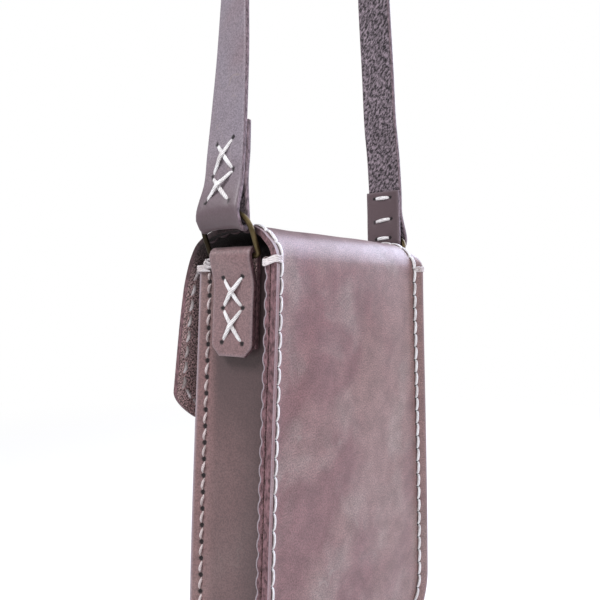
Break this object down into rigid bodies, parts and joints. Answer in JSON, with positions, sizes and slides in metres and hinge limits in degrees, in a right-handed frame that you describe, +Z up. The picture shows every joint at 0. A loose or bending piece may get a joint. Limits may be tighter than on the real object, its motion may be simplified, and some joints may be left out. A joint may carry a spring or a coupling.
{
  "type": "phone bag",
  "caption": "Small upright leather phone bag with a gusset, a top roll and flap, side tabs with D-rings and a long shoulder strap.",
  "frame": {"origin": "top of the strap's loop, where the bag hangs", "axes": "+Z up, +Y out of the back panel, -Y out of the flap, +X out of the right side"},
  "size_m": [0.1296, 0.0573, 0.6749],
  "materials": {
    "shell_leather": "oiled pull-up leather, mauve taupe, satin",
    "gusset_leather": "oiled pull-up leather, darker grey brown",
    "strap_leather": "smooth oiled leather, bluish taupe",
    "antique_brass": "aged brass, dull polish"
  },
  "bodies": {
    "root": {"back_and_flap": "shell_leather", "front_panel": "shell_leather", "gusset": "gusset_leather", "tab_right": "strap_leather", "tab_left": "strap_leather", "d_ring_right": "antique_brass", "d_ring_left": "antique_brass", "strap": "strap_leather", "flap_stud": "antique_brass"}
  },
  "joints": []
}
